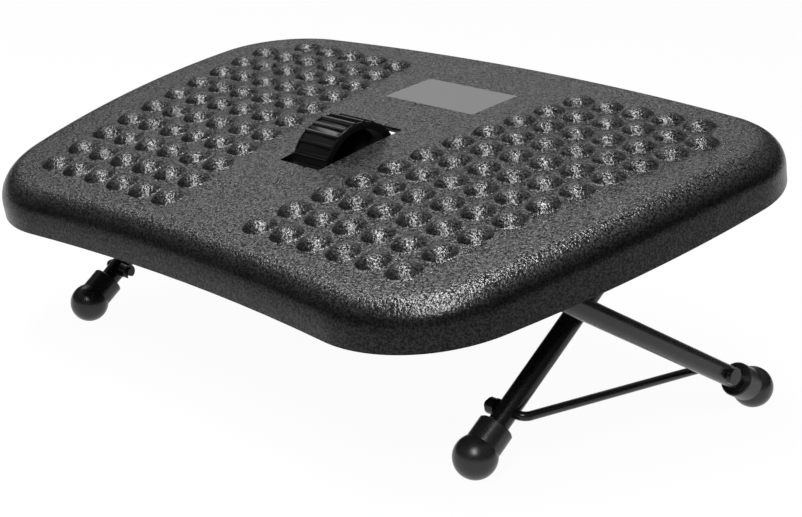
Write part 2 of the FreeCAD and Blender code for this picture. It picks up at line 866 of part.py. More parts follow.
def leg_frame(name, across, length, hole_along, hole_radius, place):
    """A U of tube. Its bar lies on X and its legs run along -Y before it is placed."""
    body = new_body(name)
    reach, drop, bend = value_of(across), value_of(length), size.tube_bend_radius
    path = new_sketch(body, name + "_path", "XY_Plane")
    left = add_line(path, (-reach, -drop), (-reach, -bend))
    left_bend = add_arc(path, (bend - reach, -bend), bend, 90, 180)
    bar = add_line(path, (bend - reach, 0), (reach - bend, 0))
    right_bend = add_arc(path, (reach - bend, -bend), bend, 0, 90)
    right = add_line(path, (reach, -bend), (reach, -drop))
    tangent_joins(
        path,
        (left, END, left_bend, END),
        (left_bend, START, bar, START),
        (bar, END, right_bend, END),
        (right_bend, START, right, START),
    )
    tie(path, "Vertical", left)
    tie(path, "Horizontal", bar)
    tie(path, "Vertical", right)
    tie(path, "PointOnObject", bar, START, H_AXIS)
    hold(path, "Radius", (left_bend,), "tube_bend_radius")
    hold(path, "Radius", (right_bend,), "tube_bend_radius")
    hold_point(path, "DistanceX", left, START, "- " + across)
    hold_point(path, "DistanceY", left, START, "- " + length)
    hold_point(path, "DistanceX", right, END, across)
    hold_point(path, "DistanceY", right, END, "- " + length)
    outside = circle_sketch(body, name + "_ring", "XZ_Plane", "tube_radius", "- " + across, length)
    tube = pipe(body, name + "_tube", "AdditivePipe", path, outside)
    doc.recompute()
    before = tube.Shape.Volume
    inside = circle_sketch(
        body, name + "_bore_ring", "XZ_Plane", "tube_bore_radius", "- " + across, length
    )
    bore = pipe(body, name + "_bore", "SubtractivePipe", path, inside)
    doc.recompute()
    if not 0 < bore.Shape.Volume < before:
        raise SystemExit(name + ": the bore took nothing away or everything")
    before = bore.Shape.Volume
    ring = circle_sketch(body, name + "_hole_ring", "YZ_Plane", hole_radius, "- " + hole_along)
    holes = pocket_through(body, name + "_holes", ring)
    doc.recompute()
    if not 0 < holes.Shape.Volume < before:
        raise SystemExit(name + ": the holes took nothing away or everything")
    body.Tip = holes
    body.Placement = place
    return body


def down_leg(pivot_along, heading, angle, distance):
    """The y and z of a point on a leg, heading -1 for forward and 1 for rearward."""
    y = pivot_along + heading * distance * math.cos(math.radians(angle))
    z = -size.bar_drop - distance * math.sin(math.radians(angle))
    return y, z


def front_leg_point(distance):
    return down_leg(size.rear_bar_along, -1, size.front_leg_angle, distance)


def rear_leg_point(distance):
    return down_leg(-size.front_bar_along, 1, size.rear_leg_angle, distance)


FRONT_BALL = front_leg_point(size.front_leg_length)
REAR_BALL = rear_leg_point(size.rear_leg_length)
FRONT_HOLE = front_leg_point(size.front_hole_along)
REAR_HOLE = rear_leg_point(size.rear_hole_along)
# the platform leans back by this angle when all four balls stand on the floor
TILT = -math.degrees(math.atan2(REAR_BALL[1] - FRONT_BALL[1], REAR_BALL[0] - FRONT_BALL[0]))


def foot(name, x, ball, upright):
    """A ball with a collar round the tube. upright turns Z to look up the leg."""
    y, z = ball
    place = shift(x, y, z) * upright
    solid = fuse(name + "_solid", [
        sphere(name + "_ball", "ball_radius", place),
        cylinder(name + "_collar", "collar_radius", "collar_straight", place),
        cone(
            name + "_edge", "collar_radius", "collar_top_radius", "collar_edge",
            place * shift(0, 0, size.collar_straight),
        ),
    ])
    bottom = size.tube_end_gap - size.socket_gap
    socket = cylinder(
        name + "_socket", "socket_radius", "socket_length", place * shift(0, 0, bottom)
    )
    low = size.ball_flat_depth - size.ball_radius - size.ball_width
    floor = middle_box(
        name + "_floor", "ball_width", "ball_width", "ball_width",
        shift(x, y, z) * turn(X_AXIS, -TILT) * shift(0, 0, low),
    )
    return cut(name, solid, socket, floor)


# stay rods

def stay_rod(name, side):
    """A rod with both ends bent square, one inward and one outward."""
    body = new_body(name)
    run = (REAR_HOLE[0] - FRONT_HOLE[0], REAR_HOLE[1] - FRONT_HOLE[1])
    length = size.stay_length
    bend = size.stay_bend_radius
    path = new_sketch(body, name + "_path", "XY_Plane")
    inner = add_line(path, (-size.stay_inner, 0), (-bend, 0))
    inner_bend = add_arc(path, (-bend, bend), bend, 270, 360)
    middle = add_line(path, (0, bend), (0, length - bend))
    outer_bend = add_arc(path, (bend, length - bend), bend, 90, 180)
    outer = add_line(path, (bend, length), (size.stay_outer, length))
    tangent_joins(
        path,
        (inner, END, inner_bend, START),
        (inner_bend, END, middle, START),
        (middle, END, outer_bend, END),
        (outer_bend, START, outer, START),
    )
    tie(path, "Horizontal", inner)
    tie(path, "Vertical", middle)
    tie(path, "Horizontal", outer)
    tie(path, "PointOnObject", inner, START, H_AXIS)
    tie(path, "PointOnObject", middle, START, V_AXIS)
    hold(path, "Radius", (inner_bend,), "stay_bend_radius")
    hold(path, "Radius", (outer_bend,), "stay_bend_radius")
    hold_point(path, "DistanceX", inner, START, "- stay_inner")
    hold_point(path, "DistanceX", outer, END, "stay_outer")
    hold_point(path, "DistanceY", outer, END, "stay_length")
    ring = circle_sketch(body, name + "_ring", "YZ_Plane", "stay_radius", None, "- stay_inner")
    rod = pipe(body, name + "_rod", "AdditivePipe", path, ring)
    doc.recompute()
    before = rod.Shape.Volume
    band = polygon_sketch(body, name + "_groove_band", "XY_Plane", [
        ("- snap_groove_start", "snap_groove_floor"),
        ("- snap_groove_end", "snap_groove_floor"),
        ("- snap_groove_end", "snap_groove_top"),
        ("- snap_groove_start", "snap_groove_top"),
    ])
    groove = body.newObject("PartDesign::Groove", name + "_groove")
    groove.Profile = band
    groove.ReferenceAxis = (origin_item(body, "X_Axis"), [""])
    groove.Angle = 360
    doc.recompute()
    if not 0 < groove.Shape.Volume < before:
        raise SystemExit(name + ": the groove took nothing away or everything")
    body.Tip = groove
    lean = turn(X_AXIS, math.degrees(math.atan2(run[1], run[0])))
    flip = turn(Y_AXIS, 0 if side > 0 else 180)
    body.Placement = shift(side * size.stay_across, *FRONT_HOLE) * lean * flip
    return body


def side_start(side, near, length):
    """The x at which a piece begins that reaches outward from near on its side."""
    return near if side > 0 else -near - value_of(length)


def ring_along_x(name, radius, bore, length, side, near, where):
    start = side_start(side, near, length)
    solid = rod_along_x(name + "_disc", radius, length, start, *where)
    hole_start = start + value_of(length) / 2 - size.full_bore / 2
    hole = rod_along_x(name + "_hole", bore, "full_bore", hole_start, *where)
    return cut(name, solid, hole)


def stay_fasteners(word, side):
    face = size.front_leg_across - size.tube_radius
    near = face - size.side_gap - size.stay_washer_wall
    washer = ring_along_x(
        word + "_stay_washer", "stay_washer_radius", "stay_bore_radius", "stay_washer_wall",
        side, near, FRONT_HOLE,
    )
    near = near - size.slide_gap - size.snap_ring_wall
    ring = ring_along_x(
        word + "_snap_ring_blank", "snap_ring_radius", "snap_ring_bore", "snap_ring_wall",
        side, near, FRONT_HOLE,
    )
    start = side_start(side, near, "snap_ring_wall")
    mouth_place = shift(start + size.snap_ring_wall / 2, *FRONT_HOLE)
    mouth = middle_box(
        word + "_snap_ring_gap", "overrun", "snap_ring_mouth", "overrun",
        mouth_place * shift(0, 0, -size.overrun),
    )
    snap_ring = cut(word + "_stay_clip", ring, mouth)
    near = size.rear_leg_across + size.tube_radius + size.side_gap
    start = side_start(side, near, "cap_height")
    outside = rod_along_x(word + "_cap_disc", "cap_radius", "cap_height", start, *REAR_HOLE)
    bore_start = near if side > 0 else -near - size.cap_depth
    inside = rod_along_x(
        word + "_cap_bore", "stay_bore_radius", "cap_depth", bore_start, *REAR_HOLE
    )
    return washer, snap_ring, cut(word + "_stay_cap", outside, inside)


# wheel and clamp

AXLE = (-size.wheel_along, -size.wheel_drop)
PIN_POINT = (-size.front_bar_along, -size.bar_drop - size.lug_reach)
# the brake strap runs from its pin to the axle
STRAP_RUN = (AXLE[0] - PIN_POINT[0], AXLE[1] - PIN_POINT[1])
STRAP_LEAN = turn(X_AXIS, math.degrees(math.atan2(STRAP_RUN[1], STRAP_RUN[0])))


def tension_wheel():
    body = new_body("tension_wheel")
    section = [
        ("hub_half_length", "hub_bore_radius"),
        ("hub_half_length", "wheel_hub_radius"),
        ("wheel_web_half", "wheel_hub_radius"),
        ("wheel_web_half", "wheel_rim_bore"),
        ("wheel_half_width", "wheel_rim_bore"),
        ("wheel_half_width", "wheel_flange_radius"),
        ("wheel_flange_half", "wheel_flange_radius"),
        ("wheel_flange_half", "wheel_land_radius"),
    ]
    other_half = [("- " + across, up) for across, up in reversed(section)]
    profile = polygon_sketch(body, "wheel_section", "XY_Plane", section + other_half)
    turned = body.newObject("PartDesign::Revolution", "wheel_turned")
    turned.Profile = profile
    turned.ReferenceAxis = (origin_item(body, "X_Axis"), [""])
    turned.Angle = 360
    rib_profile = polygon_sketch(body, "wheel_rib_profile", "YZ_Plane", [
        ("wheel_rib_half_base", "wheel_rib_foot"),
        ("wheel_rib_half_top", "wheel_radius"),
        ("- wheel_rib_half_top", "wheel_radius"),
        ("- wheel_rib_half_base", "wheel_rib_foot"),
    ])
    rib = pad(body, "wheel_rib", rib_profile, "wheel_rib_length", both_ways=True)
    doc.recompute()
    ribs = body.newObject("PartDesign::PolarPattern", "wheel_ribs")
    ribs.Originals = [rib]
    ribs.Axis = (origin_item(body, "X_Axis"), [""])
    ribs.Occurrences = WHEEL_RIB_COUNT
    body.Tip = ribs
    body.Placement = shift(0, *AXLE)
    return body


def wheel_insert():
    start = -size.hub_half_length
    return ring_along_x(
        "wheel_insert", "insert_radius", "axle_radius", "insert_length", 1, start, AXLE
    )


def thrust_washers():
    near = size.slot_width / 2 - size.thrust_washer_wall
    pair = []
    for side, word in ((-1, "left"), (1, "right")):
        pair.append(ring_along_x(
            word + "_thrust_washer", "thrust_washer_radius", "axle_radius",
            "thrust_washer_wall", side, near, AXLE,
        ))
    group = doc.addObject("Part::Compound", "thrust_washers")
    group.Links = pair
    return group


def clamp_bolt():
    far = size.slot_width / 2 + size.cheek_wall
    shank = rod_along_x(
        "bolt_shank", "bolt_radius", "bolt_shank_length", -far - size.bolt_tail, *AXLE
    )
    # the square neck lies along the strap's slot, and stops short of the cheek's round bore
    neck_place = shift(far + size.bolt_neck_start, *AXLE) * STRAP_LEAN * LIE_ALONG_X
    neck = middle_box(
        "bolt_neck", "bolt_neck_width", "bolt_neck_width", "bolt_neck_reach", neck_place
    )
    core = rod_along_x("bolt_core", "bolt_radius", "bolt_neck_length", far, *AXLE)
    seat = far + size.bolt_neck_length
    edge = rod_along_x("bolt_head_edge_disc", "bolt_head_radius", "bolt_head_edge", seat, *AXLE)
    dome_place = shift(seat + size.bolt_head_edge, *AXLE) * LIE_ALONG_X
    dome = cone(
        "bolt_head_dome_cone", "bolt_head_radius", "bolt_head_crown_radius", "bolt_head_dome",
        dome_place,
    )
    return fuse("clamp_bolt", [shank, neck, core, edge, dome])


def friction_washer():
    near = size.slot_width / 2 + size.cheek_wall + size.strap_wall
    disc = rod_along_x(
        "friction_disc", "friction_washer_radius", "friction_washer_wall", near, *AXLE
    )
    place = shift(near - size.overrun, *AXLE) * STRAP_LEAN * LIE_ALONG_X
    square = middle_box(
        "friction_square", "washer_square", "washer_square", "full_bore", place
    )
    return cut("friction_washer", disc, square)


# brake strap, its lug on the front bar and the pin between them

def brake_strap():
    face = size.slot_width / 2 + size.cheek_wall
    # along the strap, y runs from the pin to the bolt
    at_pin = shift(face, *PIN_POINT) * STRAP_LEAN

    def disc(name, radius, y):
        return cylinder(name, radius, "strap_wall", at_pin * shift(0, y, 0) * LIE_ALONG_X)

    def hole(name, radius, y):
        place = at_pin * shift(-size.overrun, y, 0) * LIE_ALONG_X
        return cylinder(name, radius, "full_bore", place)

    bolt_along = size.strap_length
    travel = size.strap_slot_travel / 2
    low = at_pin * shift(0, 0, -size.strap_width / 2)
    flat = box("strap_flat", "strap_wall", "strap_run", "strap_width", low)
    solid = fuse("strap_solid", [
        flat,
        disc("strap_pin_end", "strap_end_radius", 0),
        disc("strap_slot_end", "strap_end_radius", bolt_along + travel),
    ])
    slot_low = at_pin * shift(-size.overrun, bolt_along - travel, -size.strap_slot_radius)
    slot = fuse("strap_slot", [
        box("strap_slot_box", "full_bore", "strap_slot_travel", "strap_slot_width", slot_low),
        hole("strap_slot_near", "strap_slot_radius", bolt_along - travel),
        hole("strap_slot_far", "strap_slot_radius", bolt_along + travel),
    ])
    return cut("brake_strap", solid, slot, hole("strap_pin_hole", "strap_bore_radius", 0))


def brake_lug():
    near = size.slot_width / 2 + size.cheek_wall + size.strap_wall + size.slide_gap
    bar_point = (-size.front_bar_along, -size.bar_drop)
    ring = rod_along_x("lug_ring", "lug_ring_radius", "lug_wall", near, *bar_point)
    eye = rod_along_x("lug_eye", "lug_eye_radius", "lug_wall", near, *PIN_POINT)
    low = shift(near, PIN_POINT[0] - size.lug_eye_radius, PIN_POINT[1])
    arm = box("lug_arm", "lug_wall", "lug_bar_width", "lug_reach", low)
    solid = fuse("lug_solid", [ring, eye, arm])
    start = near - size.overrun
    bore = rod_along_x("lug_bore", "lug_bore_radius", "full_bore", start, *bar_point)
    eye_bore = rod_along_x("lug_eye_bore", "lug_eye_bore_radius", "full_bore", start, *PIN_POINT)
    return cut("brake_lug", solid, bore, eye_bore)


def link_pin():
    near = size.slot_width / 2 + size.cheek_wall
    shank = rod_along_x("pin_shank", "link_pin_radius", "link_pin_length", near, *PIN_POINT)
    inner_start = near - size.link_pin_head_height
    inner = rod_along_x(
        "pin_inner_head", "link_pin_head_radius", "link_pin_head_height", inner_start, *PIN_POINT
    )
    outer = rod_along_x(
        "pin_outer_head", "link_pin_head_radius", "link_pin_head_height",
        near + size.link_pin_length, *PIN_POINT
    )
    return fuse("link_pin", [shank, inner, outer])


# a few sizes that come from angles or from two places
def add_number(alias, number):
    add_cell(alias, repr(number))


add_number("stay_length", math.hypot(
    REAR_HOLE[0] - FRONT_HOLE[0], REAR_HOLE[1] - FRONT_HOLE[1]
))
# a bevel inside the shoulder that leaves the shell one wall thick at its middle
add_number("core_bevel", (size.shoulder_radius - size.shell_wall) * (2 - math.sqrt(2)))
add_number("strap_length", math.hypot(*STRAP_RUN))
add_cell("strap_run", "=strap_length + strap_slot_travel / 2")
add_cell("full_bore", "=full_length + 2 * overrun")
add_cell("bolt_neck_reach", "=bolt_neck_length - bolt_neck_start")
# how far the rod's groove lies from the rod's middle run
add_cell("leg_inner_face", "=stay_across - front_leg_across + tube_radius")
add_cell("snap_groove_start", "=leg_inner_face + side_gap + stay_washer_wall + slide_gap / 2")
add_cell("snap_groove_end", "=snap_groove_start + snap_ring_wall + slide_gap")
add_cell("snap_groove_floor", "=stay_radius - snap_groove_depth")
add_cell("snap_groove_top", "=stay_radius + overrun")
doc.recompute()

nodes = [platform(), label_panel(), clip_screws(), thrust_washers()]
for saddle, saddle_x, saddle_y in saddle_places():
    nodes.append(bar_clip(saddle, saddle_x, saddle_y))

front_place = shift(0, size.rear_bar_along, -size.bar_drop) * turn(X_AXIS, size.front_leg_angle)
rear_place = shift(0, -size.front_bar_along, -size.bar_drop) * turn(X_AXIS, -size.rear_leg_angle)
rear_place = rear_place * turn(Z_AXIS, 180)
nodes.append(leg_frame(
    "front_leg_frame", "front_leg_across", "front_tube_length", "front_hole_along",
    "stay_hole_radius", front_place,
))
nodes.append(leg_frame(
    "rear_leg_frame", "rear_leg_across", "rear_tube_length", "rear_hole_along",
    "open_pivot_radius", rear_place,
))
front_upright = turn(X_AXIS, size.front_leg_angle - 90)
rear_upright = turn(X_AXIS, 90 - size.rear_leg_angle)
for side_word, side_sign in (("left", -1), ("right", 1)):
    front_x = side_sign * size.front_leg_across
    rear_x = side_sign * size.rear_leg_across
    nodes.append(foot("front_%s_foot" % side_word, front_x, FRONT_BALL, front_upright))
    nodes.append(foot("rear_%s_foot" % side_word, rear_x, REAR_BALL, rear_upright))
    nodes.append(stay_rod(side_word + "_stay_rod", side_sign))
    nodes.extend(stay_fasteners(side_word, side_sign))
nodes += [tension_wheel(), wheel_insert(), clamp_bolt(), friction_washer()]
nodes += [brake_strap(), brake_lug(), link_pin()]
doc.recompute()

# tilt everything onto the floor, with the middle of the whole at x = 0 and y = 0
tilted = turn(X_AXIS, TILT)
low_y, high_y = math.inf, -math.inf
for node in nodes:
    trial = node.Shape.copy()
    trial.Placement = tilted * trial.Placement
    limits = trial.optimalBoundingBox(False, False)
    low_y = min(low_y, limits.YMin)
    high_y = max(high_y, limits.YMax)
ball_in_world = tilted.multVec(FreeCAD.Vector(0, *FRONT_BALL))
floor_lift = size.ball_radius - size.ball_flat_depth - ball_in_world.z
on_floor = shift(0, -(low_y + high_y) / 2, floor_lift) * tilted
for node in nodes:
    node.Placement = on_floor * node.Placement
doc.recompute()

for thing in doc.Objects:
    if "Invalid" in thing.State or "Error" in thing.State:
        raise SystemExit("%s: %s" % (thing.Label, thing.State))
os.makedirs("parts", exist_ok=True)
for node in nodes:
    shape = node.Shape
    if shape.isNull() or not shape.isValid() or shape.Volume <= 0:
        raise SystemExit(node.Label + ": bad shape")
    shape.exportStep("parts/%s.step" % node.Label)
print("built", len(nodes), "pieces, tilt", round(TILT, 3), "placed at", on_floor.Base)
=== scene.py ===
"""Looks of a tilting footrest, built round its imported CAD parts.

Shapes are in millimetres in the platform's own frame, which deck_to_world tilts and lifts to
its height over the floor. Materials, floor, lamps and camera are in metres.
"""
import json
import math

import bmesh
import bpy
from mathutils import Matrix, Vector, geometry


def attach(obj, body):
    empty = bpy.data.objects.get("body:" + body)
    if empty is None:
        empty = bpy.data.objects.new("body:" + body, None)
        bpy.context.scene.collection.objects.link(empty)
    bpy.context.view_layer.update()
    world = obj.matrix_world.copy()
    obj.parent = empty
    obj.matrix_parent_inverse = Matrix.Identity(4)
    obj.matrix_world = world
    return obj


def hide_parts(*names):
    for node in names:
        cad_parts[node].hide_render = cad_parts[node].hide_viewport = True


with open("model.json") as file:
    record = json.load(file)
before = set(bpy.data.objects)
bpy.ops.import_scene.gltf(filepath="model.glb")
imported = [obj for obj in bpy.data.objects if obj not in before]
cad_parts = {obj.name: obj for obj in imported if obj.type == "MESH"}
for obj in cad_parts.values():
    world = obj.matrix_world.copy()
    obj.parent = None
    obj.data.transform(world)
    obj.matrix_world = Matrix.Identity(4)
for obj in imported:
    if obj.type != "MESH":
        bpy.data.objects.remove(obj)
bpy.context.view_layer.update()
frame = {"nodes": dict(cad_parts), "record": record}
scene = bpy.context.scene
MM = 0.001

# the platform's frame: its tilt, and where its origin lies above the floor
TILT = math.radians(13.893124)
DECK_Y = -11.607757
DECK_Z = 140.689052
deck_to_world = (
    Matrix.Translation((0, DECK_Y * MM, DECK_Z * MM))
    @ Matrix.Rotation(TILT, 4, "X")
    @ Matrix.Scale(MM, 4)
)
world_to_deck = deck_to_world.inverted()

# platform sizes, as in the CAD source: the corners are arcs, by centre X and Y and radius,
# and the slot and the panel are boxes, from X to X and from Y to Y
FRONT_CORNER = (136.5, -80.5, 69.0)
REAR_CORNER = (160.0, 81.0, 67.0)
HOLLOW_RADIUS = 1325.0
SIDE_RADIUS = 830.0
BOW_RADIUS = 1053.0
CROWN_RADIUS = 1538.0
RIM_DEPTH = 30.0
SHOULDER = 16.0
RIM_EDGE = 0.4
SLOT = (-17.2, 17.2, -44.45, 22.05)
SLOT_CORNER = 1.5
PANEL = (-37.15, 37.15, 60.3, 100.1)
BUMP_ROWS = 11
BUMP_COLUMNS = 6
BUMP_PITCH = 22.0
BUMP_ROW_PITCH = 21.8
BUMP_SHIFT = 3.7
BUMP_FIRST = 58.9


# node materials

# the range in which most of a noise texture's values lie
NOISE_LOW = 0.3
NOISE_HIGH = 0.7

# the platform's grain: noise scales per metre, and how far a wall and the deck face upwards
GRAIN_SCALE = 700.0
FINE_GRAIN_SCALE = 1500.0
GRAIN_ROUGHNESS = 0.6
WALL_FACING = 0.35
DECK_FACING = 0.85
WALL_GRAIN = 0.2
WALL_GLOSS_SPREAD = 0.5
MIDDLE_GLOSS = 0.46
# the grain's values between which the gloss and the colour vary, and how far the gloss does
GLOSS_GRAIN = (0.9, 1.14)
GLOSS_SWING = (-0.43, 0.5)
# the colour between these grain values is painted sparkle on the grain's peaks and painted
# shade in its hollows
SPARKLE_AND_SHADE_GRAIN = (0.8, 1.25)

# noise squeezed across X leaves fine lines along it, as bare metal has
TURNING_MARKS = (1, 12, 12)


class Look:
    """A material with its nodes. Small helpers add and join nodes."""

    def __init__(self, name, color, roughness, **sockets):
        self.material = bpy.data.materials.new(name)
        self.material.use_nodes = True
        self.tree = self.material.node_tree
        self.shader = self.tree.nodes["Principled BSDF"]
        self.shader.inputs["Base Color"].default_value = (*color, 1)
        self.shader.inputs["Roughness"].default_value = roughness
        for socket, value in sockets.items():
            self.shader.inputs[socket.replace("_", " ")].default_value = value
        coordinates = self.tree.nodes.new("ShaderNodeTexCoord")
        self.place = coordinates.outputs["Object"]
        self.facing = coordinates.outputs["Normal"]
        self.height = None

    def node(self, kind, **settings):
        node = self.tree.nodes.new("ShaderNode" + kind)
        for name, value in settings.items():
            setattr(node, name, value)
        return node

    def link(self, source, target):
        self.tree.links.new(source, target)

    def noise(self, scale, detail=2.0, rough=0.5, stretch=None):
        node = self.node("TexNoise")
        node.inputs["Scale"].default_value = scale
        node.inputs["Detail"].default_value = detail
        node.inputs["Roughness"].default_value = rough
        self.link(self.stretched(stretch), node.inputs["Vector"])
        return node.outputs["Fac"]

    def stretched(self, stretch):
        if stretch is None:
            return self.place
        mapping = self.node("Mapping")
        mapping.inputs["Scale"].default_value = stretch
        self.link(self.place, mapping.inputs["Vector"])
        return mapping.outputs["Vector"]

    def remap(self, source, low, high, to_low, to_high):
        node = self.node("MapRange")
        limits = {"From Min": low, "From Max": high, "To Min": to_low, "To Max": to_high}
        for socket, value in limits.items():
            node.inputs[socket].default_value = value
        self.link(source, node.inputs["Value"])
        return node.outputs["Result"]

    def upward(self):
        """How far the surface faces up, in the object's own coordinates."""
        node = self.node("SeparateXYZ")
        self.link(self.facing, node.inputs["Vector"])
        return node.outputs["Z"]

    def math(self, operation, first, second):
        node = self.node("Math", operation=operation)
        for socket, value in zip(node.inputs, (first, second)):
            if isinstance(value, (int, float)):
                socket.default_value = value
            else:
                self.link(value, socket)
        return node.outputs["Value"]

    def bump(self, source, strength, distance):
        """Adds a bump layer over the ones already there."""
        node = self.node("Bump")
        node.inputs["Strength"].default_value = strength
        node.inputs["Distance"].default_value = distance
        self.link(source, node.inputs["Height"])
        if self.height is not None:
            self.link(self.height, node.inputs["Normal"])
        self.height = node.outputs["Normal"]
        self.link(self.height, self.shader.inputs["Normal"])

    def roughen(self, source, smoothest, roughest):
        """Varies the roughness between two values as the noise rises."""
        rough = self.remap(source, NOISE_LOW, NOISE_HIGH, smoothest, roughest)
        self.link(rough, self.shader.inputs["Roughness"])

    def tint(self, source, dark, light):
        """Varies the colour between two values as the source goes from 0 to 1."""
        ramp = self.node("ValToRGB")
        ramp.color_ramp.elements[0].color = (*dark, 1)
        ramp.color_ramp.elements[1].color = (*light, 1)
        self.link(source, ramp.inputs["Fac"])
        self.link(ramp.outputs["Color"], self.shader.inputs["Base Color"])


def grey(shade):
    return (shade, shade, shade)


def pebbled_plastic():
    """Black moulded plastic with a fine leather-like grain, which is weaker on the walls;
    painted sparkle and shade follow the grain.
    """
    look = Look("pebbled_plastic", grey(0.01), roughness=0.28, IOR=1.85)
    grain = look.noise(GRAIN_SCALE, detail=1.0, rough=GRAIN_ROUGHNESS)
    fine = look.noise(FINE_GRAIN_SCALE, detail=1.0, rough=GRAIN_ROUGHNESS)
    mottle = look.noise(60.0, detail=3.0, rough=GRAIN_ROUGHNESS)
    depth = look.remap(look.upward(), WALL_FACING, DECK_FACING, WALL_GRAIN, 1.0)
    both = look.math("ADD", grain, fine)
    # the gloss varies about its middle value with the grain, less so on the walls
    spread = look.remap(look.upward(), WALL_FACING, DECK_FACING, WALL_GLOSS_SPREAD, 1.0)
    varied = look.math("MULTIPLY", look.remap(both, *GLOSS_GRAIN, *GLOSS_SWING), spread)
    gloss = look.math("MULTIPLY", look.math("ADD", varied, MIDDLE_GLOSS), depth)
    look.link(gloss, look.shader.inputs["Specular IOR Level"])
    # the colour is painted sparkle on the grain's peaks and painted shade in its hollows,
    # plainer and darker on the walls
    sparkle_and_shade = look.math("MULTIPLY", look.remap(both, *SPARKLE_AND_SHADE_GRAIN, 0.0, 1.0), depth)
    look.tint(sparkle_and_shade, grey(0.002), grey(0.025))
    look.roughen(mottle, 0.24, 0.34)
    look.bump(look.math("MULTIPLY", grain, depth), strength=1.0, distance=0.0006)
    look.bump(look.math("MULTIPLY", fine, depth), strength=1.0, distance=0.00015)
    return look.material


def panel_plastic():
    look = Look("panel_plastic", grey(0.138), roughness=0.5)
    look.tint(look.noise(35.0, detail=3.0), grey(0.13), grey(0.146))
    look.bump(look.noise(1800.0, detail=2.0), strength=0.1, distance=0.0001)
    return look.material


def gloss_plastic():
    look = Look("wheel_plastic", grey(0.004), roughness=0.14, Specular_IOR_Level=0.35)
    look.roughen(look.noise(220.0, detail=4.0, rough=0.6), 0.1, 0.22)
    look.bump(look.noise(500.0, detail=3.0), strength=0.12, distance=0.0002)
    return look.material


def plain_plastic(name, shade, roughness):
    look = Look(name, grey(shade), roughness)
    look.roughen(look.noise(300.0, detail=3.0), roughness - 0.08, roughness + 0.1)
    look.bump(look.noise(900.0, detail=3.0), strength=0.15, distance=0.00015)
    return look.material


def coated_metal(name, shade, roughness):
    look = Look(name, grey(shade), roughness, Specular_IOR_Level=0.3)
    look.roughen(look.noise(90.0, detail=4.0, rough=0.6), roughness - 0.07, roughness + 0.1)
    look.bump(look.noise(700.0, detail=2.0), strength=0.12, distance=0.00015)
    return look.material


def rubber():
    look = Look("foot_rubber", grey(0.012), roughness=0.3, Specular_IOR_Level=0.45)
    look.roughen(look.noise(120.0, detail=4.0, rough=0.6), 0.22, 0.36)
    look.bump(look.noise(500.0, detail=3.0), strength=0.15, distance=0.0002)
    return look.material


def bare_metal(name, color, roughness):
    look = Look(name, color, roughness, Metallic=1.0)
    look.roughen(look.noise(400.0, detail=3.0, rough=0.6), roughness - 0.08, roughness + 0.12)
    marks = look.noise(300.0, detail=2.0, rough=0.5, stretch=TURNING_MARKS)
    look.bump(marks, strength=0.08, distance=0.0001)
    return look.material


LOOKS = {
    "platform_plastic": pebbled_plastic(),
    "panel_grey": panel_plastic(),
    "clip_plastic": plain_plastic("clip_plastic", 0.02, 0.45),
    "washer_plastic": plain_plastic("washer_plastic", 0.02, 0.45),
    "wheel_plastic": gloss_plastic(),
    "black_tube": coated_metal("black_tube", 0.006, 0.26),
    "black_rod": coated_metal("black_rod", 0.006, 0.24),
    "foot_rubber": rubber(),
    "zinc_steel": bare_metal("zinc_steel", (0.56, 0.56, 0.55), 0.32),
    "insert_brass": bare_metal("insert_brass", (0.72, 0.53, 0.27), 0.3),
}
for subpart in frame["record"]["subparts"]:
    node = frame["nodes"][subpart["node"]]
    for number in range(len(node.material_slots)):
        node.material_slots[number].material = LOOKS[subpart["material_slot"]]


# meshes

# edges that fold by more degrees than this stay sharp
SHARP_FOLD = 38


def new_object(name, bm, look, body):
    """A smooth object from a bmesh drawn in the platform's frame, riding on a body."""
    bmesh.ops.transform(bm, matrix=deck_to_world, verts=bm.verts)
    mesh = bpy.data.meshes.new(name)
    bm.to_mesh(mesh)
    bm.free()
    mesh.shade_smooth()
    mesh.set_sharp_from_angle(angle=math.radians(SHARP_FOLD))
    mesh.materials.append(LOOKS[look])
    obj = bpy.data.objects.new(name, mesh)
    scene.collection.objects.link(obj)
    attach(obj, body)
    return obj


def crown(y):
    """Height of the cylindrical deck over its middle line, at a place along Y."""
    return math.sqrt(CROWN_RADIUS ** 2 - y ** 2) - CROWN_RADIUS


# points along each arc of half the outline
HOLLOW_STEPS = 26
CORNER_STEPS = 34
SIDE_STEPS = 30
BOW_STEPS = 30


